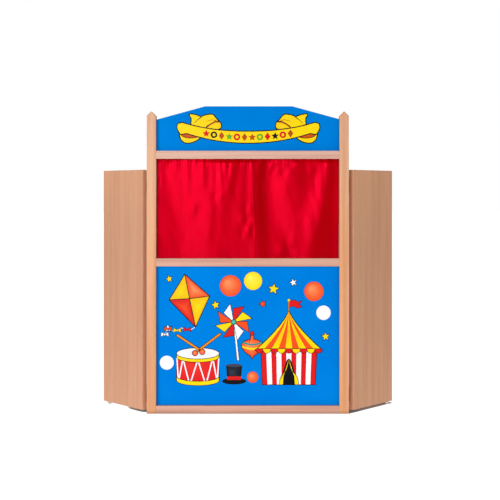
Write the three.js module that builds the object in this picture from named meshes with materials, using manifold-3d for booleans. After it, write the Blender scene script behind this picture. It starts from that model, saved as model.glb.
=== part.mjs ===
// Puppet theatre stand: a beech front frame with a stage opening, a header board, a picture
// panel, a pair of curtains on a rod, and two hinged wing boards that hold it upright.
// Millimetres. X runs to the viewer's right, Y to the back, Z up. The origin is the middle of
// the bottom rail's underside.

import * as THREE from "three";
import { mergeVertices } from "three/addons/utils/BufferGeometryUtils.js";
import Module from "manifold-3d";

const wasm = await Module();
wasm.setup();

// Clearances
const seatGap = 0.3; // between two pieces that rest on each other
const cutOverrun = 2; // how far a cutting solid runs past the face it cuts

// Front frame
const frameWidth = 1000;
const postWidth = 46;
const postAboveTopRail = 214; // from the top rail's middle to the post's tip
const postTipRise = 21;
const postTipFlat = 5;
const postArris = 2.5; // rounding of the long edges
const railHeight = 40;
const railDepth = 20;
const railArris = 2;
const middleRailHeight = 749; // floor to the rail's middle
const stageRailSpacing = 532.5; // from the middle rail's middle to the top rail's

// Dowels in the rail ends
const dowelDiameter = 8;
const dowelHalfLength = 19; // in the rail, and again in the post
const dowelClearance = 0.3;
const dowelSpread = 22; // between the two dowels of one joint
const dowelChamfer = 1;

// Boards
const boardThickness = 8;
const boardLap = 20; // behind a rail
const boardEdgeBevel = 0.8;
const grooveDepth = 8;
const grooveClearance = 0.5;
const headerHeight = 241.5; // header board's lower edge to its crest
const crestWidth = 434;
const crestShift = 5; // the crest's middle lies right of the frame's
const crestSlopeDegrees = 15.3;

// Curtain rod, in the bay behind the boards
const rodBay = 17;
const rodDiameter = 10;
const rodCupWall = 3;
const rodCupDepth = 6;
const rodCupFloor = 1.5;
const rodCupTaper = 1;
const rodBelowBoard = 3; // header board's lower edge to the cups

// Curtains
const clothThickness = 1.4;
const pocketEase = 0.8; // radial room between rod and pocket
const seamTop = 28; // where the two curtains meet, right of the middle
const seamBottom = 37;
const seamOpening = 2;
const curtainSideGap = 1.5; // between a curtain and its post
const hemAbovePanel = 4;
const gatherDepth = 1.5;
const gatherPitch = 26;
const gatherFade = 90; // how far the gathers run down the cloth
const foldClearance = 2; // between the foremost fold and the rails' back plane
const clothColumnPitch = 10.5;
const clothRows = 7;
const clothRowEasing = 1.5; // rows lie closer together near the gathers

// Folds as shares: place along the curtain from its post to its free edge, at the top and at
// the hem, half width, and depth as a share of the room in front of the rod
const leftFoldShares = [
  { top: 0.05, hem: 0.06, width: 0.05, depth: 0.6 },
  { top: 0.33, hem: 0.42, width: 0.1, depth: 0.85 },
  { top: 0.69, hem: 0.63, width: 0.08, depth: 1 },
  { top: 0.98, hem: 0.97, width: 0.05, depth: 0.9 },
];
const rightFoldShares = [
  { top: 0.15, hem: 0.33, width: 0.09, depth: 1 },
  { top: 0.6, hem: 0.53, width: 0.1, depth: 1 },
  { top: 0.97, hem: 0.96, width: 0.06, depth: 0.6 },
];
const backwardFoldShare = 0.35; // of the fold depth, how far the troughs lie behind the rod

// Wings
const wingWidth = 331;
const wingHeight = 1195;
const wingThickness = 28;
const wingArris = 1;
const wingFloorGap = 13;
const wingRestDegrees = 47; // swung back from the plane of the frame

// Butt hinges on the back faces
const hingeHeight = 80;
const hingeInset = 40; // from a wing's end to the hinge
const hingeLeafWidth = 32; // from the pin's axis
const hingeLeafThickness = 2;
const hingePinDiameter = 4;
const hingePinClearance = 0.3;
const hingePinHead = 1.6;
const hingeKnuckles = 5;
const hingeKnuckleGap = 0.4;
const hingeOutset = 0.6; // from the post's side to the pin's axis
const wingEdgeOutset = 0.2; // from the pin's axis to the wing's edge
const screwHoleDiameter = 4.4;
const screwSinkDiameter = 7.6;
const screwRows = 3;
const screwEndInset = 12;
const screwStagger = 5;

// Glides under the wings
const glideDiameter = 18;
const glideRound = 1.5;
const glideInset = 30; // from the wing's free edge
const glideShankDiameter = 5;
const glideShankLength = 16;
const glideShankClearance = 0.3;

// Facets of round pieces
const roundFacets = 24;
const smallRoundFacets = 12;
const pocketFacets = 8;
const arrisFacets = 3;

// Places worked out from the sizes
const frontY = -railDepth / 2;
const railBackY = frontY + railDepth;
const boardBackY = railBackY + boardThickness;
const postDepth = railDepth + boardThickness + rodBay;
const postBackY = frontY + postDepth;
const postInnerX = frameWidth / 2 - postWidth;
const bottomRailHeight = railHeight / 2;
const topRailHeight = middleRailHeight + stageRailSpacing;
const postHeight = topRailHeight + postAboveTopRail;
const panelBottomZ = railHeight - boardLap;
const panelTopZ = middleRailHeight - railHeight / 2 + boardLap;
const headerBottomZ = topRailHeight + railHeight / 2 - boardLap;
const crestHeight = headerBottomZ + headerHeight;
const crestSlope = Math.tan(THREE.MathUtils.degToRad(crestSlopeDegrees));
const boardHalfWidth = postInnerX + grooveDepth;
const rodCupRadius = rodDiameter / 2 + rodCupWall;
const rodY = boardBackY + rodBay / 2;
const rodZ = headerBottomZ - rodBelowBoard - rodCupRadius;
const knuckleRadius = hingePinDiameter / 2 + hingePinClearance + hingeLeafThickness;
const pinX = frameWidth / 2 + hingeOutset;
const pinY = postBackY + seatGap + knuckleRadius;
const hingeZs = [
  wingFloorGap + hingeInset,
  wingFloorGap + wingHeight - hingeInset - hingeHeight,
];

function finish(color, roughness, metalness) {
  return new THREE.MeshStandardMaterial({ color, roughness, metalness });
}

const beech = finish(0xe0b08c, 0.55, 0);
const veneer = finish(0xd8a480, 0.6, 0);
const dowelWood = finish(0xd9b48f, 0.7, 0);
const bluePaint = finish(0x0080de, 0.4, 0);
const satin = finish(0xd4001c, 0.35, 0);
const steel = finish(0x9a979c, 0.35, 0.9);
const zincSteel = finish(0xb9bcc0, 0.4, 0.9);
const paleNylon = finish(0xf0efe9, 0.5, 0);

const stand = new THREE.Group();

function addPiece(name, geometry, material, parent = stand) {
  const mesh = new THREE.Mesh(geometry, material);
  mesh.name = name;
  parent.add(mesh);
  return mesh;
}

// Closed geometry to a solid that can be cut and joined, and back
function toSolid(geometry) {
  const bare = geometry.clone();
  bare.deleteAttribute("normal");
  bare.deleteAttribute("uv");
  const merged = mergeVertices(bare, seatGap / 1000);
  return new wasm.Manifold(
    new wasm.Mesh({
      numProp: 3,
      vertProperties: merged.attributes.position.array,
      triVerts: new Uint32Array(merged.index.array),
    }),
  );
}

function toGeometry(solid) {
  const mesh = solid.getMesh();
  const geometry = new THREE.BufferGeometry();
  geometry.setAttribute("position", new THREE.BufferAttribute(mesh.vertProperties, 3));
  geometry.setIndex(new THREE.BufferAttribute(mesh.triVerts, 1));
  const faceted = geometry.toNonIndexed();
  faceted.computeVertexNormals();
  return faceted;
}

function cut(geometry, cutters) {
  let solid = toSolid(geometry);
  for (const cutter of cutters) solid = solid.subtract(toSolid(cutter));
  return toGeometry(solid);
}

function join(geometries) {
  let solid = toSolid(geometries[0]);
  for (const other of geometries.slice(1)) solid = solid.add(toSolid(other));
  return toGeometry(solid);
}

// A block between two corners
function block(low, high) {
  const geometry = new THREE.BoxGeometry(high[0] - low[0], high[1] - low[1], high[2] - low[2]);
  return geometry.translate(
    (low[0] + high[0]) / 2,
    (low[1] + high[1]) / 2,
    (low[2] + high[2]) / 2,
  );
}

// An outline in X and Z, thickened from its front face at Y = 0 towards the back
function slab(outline, thickness, bevel, facets) {
  const geometry = new THREE.ExtrudeGeometry(outline, {
    depth: thickness - 2 * bevel,
    bevelThickness: bevel,
    bevelSize: bevel,
    bevelOffset: -bevel,
    bevelSegments: facets,
  });
  return geometry.rotateX(Math.PI / 2).translate(0, thickness - bevel, 0);
}

function outlineOf(points) {
  return new THREE.Shape(points.map(([x, y]) => new THREE.Vector2(x, y)));
}

function roundedRectangle(width, height, radius) {
  const right = width / 2 - radius;
  const top = height / 2 - radius;
  const shape = new THREE.Shape();
  shape.absarc(right, top, radius, 0, Math.PI / 2);
  shape.absarc(-right, top, radius, Math.PI / 2, Math.PI);
  shape.absarc(-right, -top, radius, Math.PI, 1.5 * Math.PI);
  shape.absarc(right, -top, radius, 1.5 * Math.PI, 2 * Math.PI);
  shape.closePath();
  return shape;
}

// Turns a solid that stands along Z so that it lies along X
function alongX(geometry) {
  return geometry.rotateY(Math.PI / 2);
}

function turned(points, facets) {
  return new THREE.LatheGeometry(
    points.map(([r, z]) => new THREE.Vector2(r, z)),
    facets,
  ).rotateX(Math.PI / 2);
}

// Posts: pointed boards, grooved for the two panels and drilled for the dowels
const rails = [
  { name: "bottom_rail", height: bottomRailHeight },
  { name: "middle_rail", height: middleRailHeight },
  { name: "top_rail", height: topRailHeight },
];
const dowelOffsets = [-dowelSpread / 2, dowelSpread / 2];

// The dowel bore of one joint, open at the face where X is faceX and running along side
function dowelBores(faceX, side, height) {
  const length = dowelHalfLength + seatGap + cutOverrun;
  const radius = dowelDiameter / 2 + dowelClearance;
  return dowelOffsets.map((offset) =>
    alongX(new THREE.CylinderGeometry(radius, radius, length, smallRoundFacets).rotateX(Math.PI / 2))
      .translate(faceX + side * (length / 2 - cutOverrun), frontY + railDepth / 2, height + offset),
  );
}

function headerEdgeZ(x) {
  const beyond = Math.abs(x - crestShift) - crestWidth / 2;
  return crestHeight - Math.max(0, beyond) * crestSlope;
}

function panelGroove(side, lowZ, highZ) {
  const mouthX = side * (postInnerX - cutOverrun);
  const floorX = side * (postInnerX + grooveDepth + grooveClearance);
  return block(
    [Math.min(mouthX, floorX), railBackY - grooveClearance, lowZ - grooveClearance],
    [Math.max(mouthX, floorX), boardBackY + grooveClearance, highZ + grooveClearance],
  );
}

function postGeometry(side) {
  const half = postWidth / 2;
  const outline = outlineOf([
    [-half, 0],
    [half, 0],
    [half, postHeight - postTipRise],
    [postTipFlat / 2, postHeight],
    [-postTipFlat / 2, postHeight],
    [-half, postHeight - postTipRise],
  ]);
  const centreX = side * (frameWidth / 2 - half);
  const blank = slab(outline, postDepth, postArris, arrisFacets).translate(centreX, frontY, 0);
  const bores = rails.flatMap((rail) => dowelBores(side * postInnerX, side, rail.height));
  return cut(blank, [
    panelGroove(side, panelBottomZ, panelTopZ),
    panelGroove(side, headerBottomZ, headerEdgeZ(side * postInnerX)),
    ...bores,
  ]);
}

// Rails: rounded bars between the posts, flush with their front faces
function railGeometry(height) {
  const length = 2 * (postInnerX - seatGap);
  const section = roundedRectangle(railHeight, railDepth, railArris);
  const bar = new THREE.ExtrudeGeometry(section, {
    depth: length,
    bevelEnabled: false,
    curveSegments: arrisFacets,
  });
  const placed = alongX(bar).translate(-length / 2, frontY + railDepth / 2, height);
  return cut(placed, [
    ...dowelBores(length / 2, -1, height),
    ...dowelBores(-length / 2, 1, height),
  ]);
}

function dowelGeometry() {
  const radius = dowelDiameter / 2;
  const half = dowelHalfLength;
  const profile = [
    [0, -half],
    [radius - dowelChamfer, -half],
    [radius, -half + dowelChamfer],
    [radius, half - dowelChamfer],
    [radius - dowelChamfer, half],
    [0, half],
  ];
  return alongX(turned(profile, smallRoundFacets));
}

function addFrame() {
  addPiece("left_post", postGeometry(-1), beech);
  addPiece("right_post", postGeometry(1), beech);
  const dowelHeights = ["lower", "upper"];
  for (const rail of rails) {
    addPiece(rail.name, railGeometry(rail.height), beech);
    for (const [end, side] of [["left", -1], ["right", 1]]) {
      dowelOffsets.forEach((offset, i) => {
        const dowel = addPiece(
          `${rail.name}_${end}_dowel_${dowelHeights[i]}`,
          dowelGeometry(),
          dowelWood,
        );
        dowel.position.set(
          side * (postInnerX - seatGap / 2),
          frontY + railDepth / 2,
          rail.height + offset,
        );
      });
    }
  }
}

// Boards: a crested header and a plain lower panel
function addBoards() {
  const crestLeftX = crestShift - crestWidth / 2;
  const crestRightX = crestShift + crestWidth / 2;
  const header = outlineOf([
    [-boardHalfWidth, headerBottomZ],
    [boardHalfWidth, headerBottomZ],
    [boardHalfWidth, headerEdgeZ(boardHalfWidth)],
    [crestRightX, crestHeight],
    [crestLeftX, crestHeight],
    [-boardHalfWidth, headerEdgeZ(-boardHalfWidth)],
  ]);
  const panel = outlineOf([
    [-boardHalfWidth, panelBottomZ],
    [boardHalfWidth, panelBottomZ],
    [boardHalfWidth, panelTopZ],
    [-boardHalfWidth, panelTopZ],
  ]);
  const thickness = boardThickness - seatGap;
  for (const [name, outline] of [["header_board", header], ["front_panel", panel]]) {
    const board = addPiece(name, slab(outline, thickness, boardEdgeBevel, 1), bluePaint);
    board.position.y = railBackY + seatGap;
  }
}

// Curtain rod in two cups on the posts' inner faces
function rodCupGeometry() {
  const bore = rodDiameter / 2 + seatGap;
  const profile = [
    [0, 0],
    [rodCupRadius, 0],
    [rodCupRadius - rodCupTaper, rodCupDepth],
    [bore, rodCupDepth],
    [bore, rodCupFloor],
    [0, rodCupFloor],
  ];
  return alongX(turned(profile, roundFacets));
}

function addRod() {
  const cupX = postInnerX - seatGap;
  const rodLength = 2 * (cupX - rodCupFloor - seatGap);
  const radius = rodDiameter / 2;
  const rod = alongX(
    new THREE.CylinderGeometry(radius, radius, rodLength, roundFacets).rotateX(Math.PI / 2),
  );
  addPiece("curtain_rod", rod, zincSteel).position.set(0, rodY, rodZ);
  addPiece("left_rod_cup", rodCupGeometry(), paleNylon).position.set(-cupX, rodY, rodZ);
  const rightCup = addPiece("right_rod_cup", rodCupGeometry(), paleNylon);
  rightCup.position.set(cupX, rodY, rodZ);
  rightCup.rotation.z = Math.PI;
}

// Curtains: a gathered rod pocket with a folded sheet hanging from it
function lerp(from, to, share) {
  return from + (to - from) * share;
}

function bump(distance, width) {
  return Math.exp(-((distance / width) ** 2));
}

// How far the cloth stands in front of the rod's axis at a place along and down the curtain
function foldOffset(folds, along, drop, length, height) {
  const room = rodY - railBackY - foldClearance - gatherDepth - clothThickness;
  const opening = 1 - Math.exp((-drop * height) / gatherFade);
  let forward = 0;
  for (const fold of folds) {
    const place = lerp(fold.top, fold.hem, drop);
    forward = Math.max(forward, fold.depth * bump(along - place, fold.width));
  }
  const depth = lerp(-backwardFoldShare, 1, forward) * room * opening;
  const gather = gatherDepth * Math.exp((-drop * height) / gatherFade);
  return depth + gather * Math.cos((2 * Math.PI * along * length) / gatherPitch);
}

// A closed skin round a grid of front points and a grid of back points
function closedSheet(columns, rows, pointAt) {
  const positions = [];
  const faces = [];
  const across = columns + 1;
  const layer = across * (rows + 1);
  for (const back of [0, 1])
    for (let row = 0; row <= rows; row += 1)
      for (let column = 0; column <= columns; column += 1)
        positions.push(...pointAt(column / columns, row / rows, back));
  const quad = (a, b, c, d) => faces.push(a, b, c, a, c, d);
  for (let row = 0; row < rows; row += 1)
    for (let column = 0; column < columns; column += 1) {
      const corner = row * across + column;
      quad(corner + across, corner + across + 1, corner + 1, corner);
      const behind = corner + layer;
      quad(behind, behind + 1, behind + across + 1, behind + across);
    }
  for (let column = 0; column < columns; column += 1) {
    const foot = rows * across + column;
    quad(column, column + 1, column + 1 + layer, column + layer);
    quad(foot + layer, foot + 1 + layer, foot + 1, foot);
  }
  for (let row = 0; row < rows; row += 1) {
    const near = row * across;
    const far = near + columns;
    quad(near, near + layer, near + across + layer, near + across);
    quad(far + across, far + across + layer, far + layer, far);
  }
  const geometry = new THREE.BufferGeometry();
  geometry.setAttribute("position", new THREE.Float32BufferAttribute(positions, 3));
  geometry.setIndex(faces);
  return geometry;
}

function curtainGeometry(side, folds) {
  const pocketBore = rodDiameter / 2 + pocketEase;
  const pocketRadius = pocketBore + clothThickness;
  const cupEndX = postInnerX - seatGap - rodCupDepth - curtainSideGap;
  const topZ = rodZ - pocketBore - clothThickness / 2;
  const hemZ = panelTopZ + hemAbovePanel;
  const height = topZ - hemZ;
  const seamAt = (drop) => lerp(seamTop, seamBottom, drop) + (side * seamOpening) / 2;
  const outerAt = (drop) => side * (drop > 0 ? postInnerX - curtainSideGap : cupEndX);
  const length = Math.abs(seamAt(0) - outerAt(0));
  const columns = Math.round(length / clothColumnPitch);

  const sheet = closedSheet(columns, clothRows, (share, rowShare, back) => {
    const along = side < 0 ? share : 1 - share;
    const drop = rowShare ** clothRowEasing;
    const x = lerp(outerAt(drop), seamAt(drop), along);
    const forward = foldOffset(folds, along, drop, length, height);
    const y = rodY - forward + (back - 1 / 2) * clothThickness;
    return [x, y, topZ - drop * height];
  });

  const ends = [outerAt(0), seamAt(0)].sort((a, b) => a - b);
  const tubeColumns = Math.round((ends[1] - ends[0]) / (gatherPitch / 2));
  const pocket = gatheredTube(ends[0], ends[1], tubeColumns, pocketRadius);
  const bore = alongX(
    new THREE.CylinderGeometry(
      pocketBore,
      pocketBore,
      ends[1] - ends[0] + 2 * cutOverrun,
      smallRoundFacets,
    ).rotateX(Math.PI / 2),
  ).translate((ends[0] + ends[1]) / 2, rodY, rodZ);
  return cut(join([pocket, sheet]), [bore]);
}

// The pocket's outside: a tube along X that swells and narrows with the gathers
function gatheredTube(startX, endX, columns, radius) {
  const sides = pocketFacets;
  const positions = [startX, rodY, rodZ, endX, rodY, rodZ];
  const faces = [];
  const ringStart = (column) => 2 + column * sides;
  for (let column = 0; column <= columns; column += 1) {
    const swell = radius + (column % 2) * gatherDepth;
    for (let i = 0; i < sides; i += 1) {
      const angle = ((i + 1 / 2) / sides) * 2 * Math.PI;
      positions.push(
        lerp(startX, endX, column / columns),
        rodY + (swell * Math.cos(angle)) / Math.cos(Math.PI / sides),
        rodZ + (swell * Math.sin(angle)) / Math.cos(Math.PI / sides),
      );
    }
  }
  for (let i = 0; i < sides; i += 1) {
    const next = (i + 1) % sides;
    faces.push(0, ringStart(0) + next, ringStart(0) + i);
    faces.push(1, ringStart(columns) + i, ringStart(columns) + next);
    for (let column = 0; column < columns; column += 1) {
      const a = ringStart(column) + i;
      const b = ringStart(column) + next;
      const c = ringStart(column + 1) + next;
      const d = ringStart(column + 1) + i;
      faces.push(a, b, c, a, c, d);
    }
  }
  const geometry = new THREE.BufferGeometry();
  geometry.setAttribute("position", new THREE.Float32BufferAttribute(positions, 3));
  geometry.setIndex(faces);
  return geometry;
}

function addCurtains() {
  addPiece("left_curtain", curtainGeometry(-1, leftFoldShares), satin);
  addPiece("right_curtain", curtainGeometry(1, rightFoldShares), satin);
}

// Butt hinges. In a hinge's own frame the pin stands on the Z axis, the leaf runs along +X
// and lies with its seat face towards -Y.
function knuckleSection() {
  const leafTop = hingeLeafThickness - knuckleRadius;
  const leafAngle = Math.asin(leafTop / knuckleRadius);
  const shape = new THREE.Shape();
  shape.moveTo(hingeLeafWidth, -knuckleRadius);
  shape.lineTo(hingeLeafWidth, leafTop);
  shape.absarc(0, 0, knuckleRadius, leafAngle, 1.5 * Math.PI);
  shape.closePath();
  const bore = new THREE.Path();
  bore.absarc(0, 0, hingePinDiameter / 2 + hingePinClearance, 0, 2 * Math.PI, true);
  shape.holes.push(bore);
  return shape;
}

function screwCutter(x, z) {
  const hole = screwHoleDiameter / 2;
  const sink = screwSinkDiameter / 2;
  const seatY = -knuckleRadius;
  const leafTop = seatY + hingeLeafThickness;
  const profile = [
    [0, seatY - cutOverrun],
    [hole, seatY - cutOverrun],
    [hole, leafTop - (sink - hole)],
    [sink, leafTop],
    [sink, leafTop + cutOverrun],
    [0, leafTop + cutOverrun],
  ];
  const cutter = new THREE.LatheGeometry(
    profile.map(([r, y]) => new THREE.Vector2(r, y)),
    smallRoundFacets,
  );
  return cutter.translate(x, 0, z);
}

// firstKnuckle 0 gives the leaf with the odd knuckles, 1 the leaf between them
function leafGeometry(firstKnuckle) {
  const pitch = hingeHeight / hingeKnuckles;
  const plateStart = knuckleRadius + hingeKnuckleGap;
  const leafTop = hingeLeafThickness - knuckleRadius;
  const parts = [block([plateStart, -knuckleRadius, 0], [hingeLeafWidth, leafTop, hingeHeight])];
  for (let k = firstKnuckle; k < hingeKnuckles; k += 2) {
    const low = k === 0 ? 0 : k * pitch + hingeKnuckleGap / 2;
    const high = k === hingeKnuckles - 1 ? hingeHeight : (k + 1) * pitch - hingeKnuckleGap / 2;
    const knuckle = new THREE.ExtrudeGeometry(knuckleSection(), {
      depth: high - low,
      bevelEnabled: false,
      curveSegments: smallRoundFacets,
    });
    parts.push(knuckle.translate(0, 0, low));
  }
  const middleX = (plateStart + hingeLeafWidth) / 2;
  const step = (hingeHeight - 2 * screwEndInset) / (screwRows - 1);
  const cutters = [];
  for (let row = 0; row < screwRows; row += 1) {
    const sideways = row % 2 ? screwStagger / 2 : -screwStagger / 2;
    cutters.push(screwCutter(middleX + sideways, screwEndInset + row * step));
  }
  return cut(join(parts), cutters);
}

function pinGeometry() {
  const shank = hingePinDiameter / 2;
  const head = knuckleRadius - hingeKnuckleGap;
  const low = -seatGap;
  const high = hingeHeight + seatGap;
  const profile = [
    [0, low - hingePinHead],
    [shank, low - hingePinHead],
    [head, low - hingePinHead / 2],
    [head, low],
    [shank, low],
    [shank, high],
    [head, high],
    [head, high + hingePinHead / 2],
    [shank, high + hingePinHead],
    [0, high + hingePinHead],
  ];
  return turned(profile, smallRoundFacets);
}

// Wings: plain boards whose back faces lie flush with the posts' when they are swung straight
function wingGeometry() {
  const outline = outlineOf([
    [0, 0],
    [wingWidth, 0],
    [wingWidth, wingHeight],
    [0, wingHeight],
  ]);
  const radius = glideShankDiameter / 2 + glideShankClearance;
  const depth = glideShankLength + glideShankClearance;
  const bore = new THREE.CylinderGeometry(radius, radius, depth + cutOverrun, smallRoundFacets)
    .rotateX(Math.PI / 2)
    .translate(wingWidth - glideInset, wingThickness / 2, (depth - cutOverrun) / 2);
  return cut(slab(outline, wingThickness, wingArris, 1), [bore]);
}

function glideGeometry() {
  const foot = glideDiameter / 2;
  const footTop = wingFloorGap - seatGap;
  const shank = glideShankDiameter / 2;
  const profile = [
    [0, 0],
    [foot - glideRound, 0],
    [foot, glideRound],
    [foot, footTop],
    [shank, footTop],
    [shank, wingFloorGap + glideShankLength],
    [0, wingFloorGap + glideShankLength],
  ];
  return turned(profile, smallRoundFacets);
}

// One wing with its hinges, built on the right and mirrored for the left
function addWing(sideName, side) {
  const half = new THREE.Group();
  half.scale.x = side;
  stand.add(half);
  const swing = new THREE.Group();
  swing.position.set(pinX, pinY, 0);
  swing.rotation.z = THREE.MathUtils.degToRad(wingRestDegrees);
  half.add(swing);

  const backY = -knuckleRadius - seatGap;
  const wing = addPiece(`${sideName}_wing`, wingGeometry(), veneer, swing);
  wing.position.set(wingEdgeOutset, backY - wingThickness, wingFloorGap);
  const glide = addPiece(`${sideName}_wing_glide`, glideGeometry(), paleNylon, swing);
  glide.position.set(wingEdgeOutset + wingWidth - glideInset, backY - wingThickness / 2, 0);

  const levels = ["lower", "upper"];
  hingeZs.forEach((z, i) => {
    const hingeName = `${sideName}_${levels[i]}_hinge`;
    addPiece(`${hingeName}_wing_leaf`, leafGeometry(1), steel, swing).position.z = z;
    addPiece(`${hingeName}_pin`, pinGeometry(), steel, half).position.set(pinX, pinY, z);
    const postLeaf = addPiece(`${hingeName}_post_leaf`, mirrorX(leafGeometry(0)), steel, half);
    postLeaf.position.set(pinX, pinY, z);
  });
}

// The same solid seen in a mirror across X, with its faces still pointing out
function mirrorX(geometry) {
  const flipped = geometry.clone().scale(-1, 1, 1);
  const position = flipped.getAttribute("position");
  const corner = new THREE.Vector3();
  const other = new THREE.Vector3();
  for (let i = 0; i < position.count; i += 3) {
    corner.fromBufferAttribute(position, i + 1);
    other.fromBufferAttribute(position, i + 2);
    position.setXYZ(i + 1, other.x, other.y, other.z);
    position.setXYZ(i + 2, corner.x, corner.y, corner.z);
  }
  flipped.computeVertexNormals();
  return flipped;
}

addFrame();
addBoards();
addRod();
addCurtains();
addWing("left", -1);
addWing("right", 1);

export default stand;
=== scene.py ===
from math import cos, exp, pi, radians, sin

import bmesh
import bpy
import numpy as np
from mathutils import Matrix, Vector, noise


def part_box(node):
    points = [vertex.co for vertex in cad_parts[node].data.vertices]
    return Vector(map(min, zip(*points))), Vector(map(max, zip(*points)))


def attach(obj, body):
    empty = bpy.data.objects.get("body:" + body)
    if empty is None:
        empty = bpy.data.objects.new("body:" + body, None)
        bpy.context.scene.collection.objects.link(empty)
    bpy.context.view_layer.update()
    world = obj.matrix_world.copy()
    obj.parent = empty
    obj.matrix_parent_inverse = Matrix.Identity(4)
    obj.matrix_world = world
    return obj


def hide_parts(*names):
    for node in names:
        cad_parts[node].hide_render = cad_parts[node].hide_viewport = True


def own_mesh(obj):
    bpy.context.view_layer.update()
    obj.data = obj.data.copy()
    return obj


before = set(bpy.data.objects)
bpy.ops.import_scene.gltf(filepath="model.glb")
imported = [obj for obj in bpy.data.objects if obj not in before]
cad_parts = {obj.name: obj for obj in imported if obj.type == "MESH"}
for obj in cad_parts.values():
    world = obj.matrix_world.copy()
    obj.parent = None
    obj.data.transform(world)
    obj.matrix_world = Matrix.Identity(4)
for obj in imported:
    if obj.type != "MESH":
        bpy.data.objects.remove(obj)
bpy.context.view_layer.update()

# Posts and rails: solid steamed beech, planed, with its arrises rounded and two coats of clear satin
# lacquer. The posts' grain runs up to the pointed tips, the rails' grain runs across between them.


class Nodes:
    """A node tree with short calls for the nodes that the finishes and the makers are built of."""

    def __init__(self, tree):
        self.tree = tree

    def add(self, kind, feeds=None, **settings):
        """Adds a node; feeds gives its sockets a value or another node's output."""
        made = self.tree.nodes.new(kind)
        for name, value in settings.items():
            setattr(made, name, value)
        for socket, value in (feeds or {}).items():
            if isinstance(value, bpy.types.NodeSocket):
                self.tree.links.new(value, made.inputs[socket])
            else:
                made.inputs[socket].default_value = value
        return made

    def out(self, kind, feeds=None, output=0, **settings):
        """Adds a node and gives one of its outputs."""
        return self.add(kind, feeds, **settings).outputs[output]

    def sum(self, operation, first, second=0, third=0):
        return self.out("ShaderNodeMath", {0: first, 1: second, 2: third}, operation=operation)

    def times(self, first, second):
        return self.sum("MULTIPLY", first, second)

    def scaled(self, value, by, plus):
        return self.sum("MULTIPLY_ADD", value, by, plus)

    def vector(self, x=0, y=0, z=0):
        return self.out("ShaderNodeCombineXYZ", {0: x, 1: y, 2: z})

    def split(self, vector):
        return self.add("ShaderNodeSeparateXYZ", {0: vector}).outputs


def colour(red, green, blue):
    """A colour from its 0 to 255 screen values."""
    parts = [v / 255 for v in (red, green, blue)]
    linear = [v / 12.92 if v <= 0.04045 else ((v + 0.055) / 1.055) ** 2.4 for v in parts]
    return (*linear, 1.0)


class Finish(Nodes):
    """A material with one shader: constants are set on its own sockets, textures are wired to them."""

    def __init__(self, name, **constants):
        self.material = bpy.data.materials.new(name)
        self.material.use_nodes = True
        super().__init__(self.material.node_tree)
        self.tree.nodes.clear()
        self.shader = self.add("ShaderNodeBsdfPrincipled")
        for socket, value in constants.items():
            self.shader.inputs[socket.replace("_", " ")].default_value = value
        self.add("ShaderNodeOutputMaterial", {0: self.shader.outputs[0]})
        self.places = self.add("ShaderNodeTexCoord").outputs
        self.place = self.places["Object"]

    def wired(self, **wires):
        """The material, once those outputs feed its shader's sockets."""
        for socket, value in wires.items():
            self.tree.links.new(value, self.shader.inputs[socket.replace("_", " ")])
        return self.material

    def step(self, value, low, high, to_low=0, to_high=1):
        """A smooth step of value between low and high."""
        feeds = {"Value": value, "From Min": low, "From Max": high, "To Min": to_low, "To Max": to_high}
        return self.out("ShaderNodeMapRange", feeds, interpolation_type="SMOOTHSTEP")

    def tint(self, share, base, over, mode="MIX"):
        """Base colour with another laid over it by that share."""
        return self.out("ShaderNodeMix", {0: share, 6: base, 7: over}, 2, data_type="RGBA", blend_type=mode)

    def stretched(self, kind, stretch, feeds, vector=None, output=0, **settings):
        """A texture read with its vector stretched, by a number for each axis or by one for all."""
        by = stretch if isinstance(stretch, tuple) else (stretch,) * 3
        read = {0: self.place if vector is None else vector, 1: by}
        spread = self.out("ShaderNodeVectorMath", read, operation="MULTIPLY")
        return self.out(kind, {"Vector": spread, "Scale": 1, **feeds}, output, **settings)

    def noise(self, stretch, detail, vector=None, **feeds):
        return self.stretched("ShaderNodeTexNoise", stretch, {"Detail": detail, **feeds}, vector)

    def cells(self, stretch, randomness, vector=None):
        return self.stretched("ShaderNodeTexVoronoi", stretch, {"Randomness": randomness}, vector)

    def bump(self, height, depth, strength, under=None):
        """A bump of that depth in metres."""
        feeds = {"Height": height, "Distance": depth, "Strength": strength}
        if under is not None:
            feeds["Normal"] = under
        return self.out("ShaderNodeBump", feeds)


ring_spacing_scale, ray_brown = 82, (0.21, 0.085, 0.035, 1)


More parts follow.
